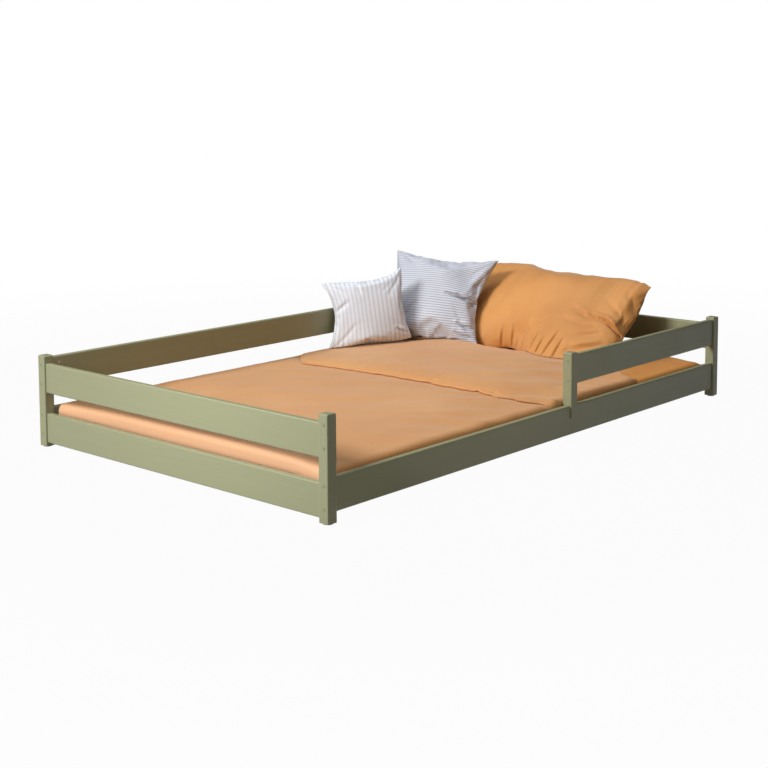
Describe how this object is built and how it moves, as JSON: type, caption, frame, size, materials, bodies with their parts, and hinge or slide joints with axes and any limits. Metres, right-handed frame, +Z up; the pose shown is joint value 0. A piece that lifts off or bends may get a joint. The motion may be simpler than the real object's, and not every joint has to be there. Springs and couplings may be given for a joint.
{
  "type": "toddler floor bed",
  "caption": "Low slatted floor bed with board ends, a full rail on one side and a half-length guard rail on the other, made up with mattress, duvet, pillow and cushions.",
  "frame": {"origin": "on the floor, under the middle of the bed", "axes": "+X from the foot to the head, +Y from the open entry side to the far side, +Z up"},
  "size_m": [2.0816, 1.284, 0.4851],
  "materials": {
    "green_lacquer": "solid pine with a satin sage-green water-based lacquer",
    "raw_pine": "planed pine, unpainted",
    "beech": "turned beech, unpainted",
    "zinc_hardware": "zinc-plated steel",
    "zinc_screws": "zinc-plated steel",
    "bracket_steel": "zinc-plated pressed steel",
    "caps": "moulded plastic in the lacquer's colour",
    "glides": "dark felted plastic",
    "webbing": "woven polyester tape",
    "mattress_cover": "knitted mattress cover",
    "sheet_cotton": "ochre-peach cotton sateen, fitted sheet",
    "duvet_cotton": "ochre cotton sateen, duvet cover",
    "pillow_cotton": "ochre cotton sateen, pillow case",
    "blue_stripe_cotton": "woven cotton with fine grey-blue stripes",
    "white_stripe_cotton": "woven cotton, off-white with fine grey stripes"
  },
  "bodies": {
    "frame": {"barrel_nuts": "zinc_hardware", "beam_brackets": "bracket_steel", "beam_feet": "raw_pine", "board_dowels": "beech", "bolt_caps": "caps", "bracket_screws": "zinc_screws", "centre_beam": "raw_pine", "connecting_bolts": "zinc_hardware", "far_lower_rail": "green_lacquer", "far_upper_rail": "green_lacquer", "floor_glides": "glides", "foot_lower_board": "green_lacquer", "foot_upper_board": "green_lacquer", "guard_rail": "green_lacquer", "head_lower_board": "green_lacquer", "head_upper_board": "green_lacquer", "lap_screws": "zinc_screws", "ledger_far": "raw_pine", "ledger_near": "raw_pine", "ledger_screws": "zinc_screws", "near_lower_rail": "green_lacquer", "post_foot_far": "green_lacquer", "post_foot_near": "green_lacquer", "post_guard": "green_lacquer", "post_head_far": "green_lacquer", "post_head_near": "green_lacquer", "slat_01": "raw_pine", "slat_02": "raw_pine", "slat_03": "raw_pine", "slat_04": "raw_pine", "slat_05": "raw_pine", "slat_06": "raw_pine", "slat_07": "raw_pine", "slat_08": "raw_pine", "slat_09": "raw_pine", "slat_10": "raw_pine", "slat_11": "raw_pine", "slat_12": "raw_pine", "slat_13": "raw_pine", "slat_14": "raw_pine", "slat_15": "raw_pine", "slat_screws": "zinc_screws", "slat_webbing_far": "webbing", "slat_webbing_near": "webbing"},
    "mattress_body": {"mattress": "mattress_cover", "fitted_sheet": "sheet_cotton"},
    "duvet_body": {"duvet": "duvet_cotton"},
    "pillow_body": {"pillow": "pillow_cotton"},
    "striped_cushion_body": {"striped_cushion": "blue_stripe_cotton"},
    "small_cushion_body": {"small_cushion": "white_stripe_cotton"}
  },
  "joints": [
    {"name": "mattress_lift", "type": "slide", "parent": "frame", "child": "mattress_body", "axis": [0, 0, 1], "range_m": [0, 0.26]},
    {"name": "duvet_lift", "type": "slide", "parent": "mattress_body", "child": "duvet_body", "axis": [0, 0, 1], "range_m": [0, 0.2]},
    {"name": "pillow_lift", "type": "slide", "parent": "duvet_body", "child": "pillow_body", "axis": [0, 0, 1], "range_m": [0, 0.2]},
    {"name": "striped_cushion_lift", "type": "slide", "parent": "pillow_body", "child": "striped_cushion_body", "axis": [0, 0, 1], "range_m": [0, 0.2]},
    {"name": "small_cushion_lift", "type": "slide", "parent": "striped_cushion_body", "child": "small_cushion_body", "axis": [0, 0, 1], "range_m": [0, 0.2]}
  ]
}
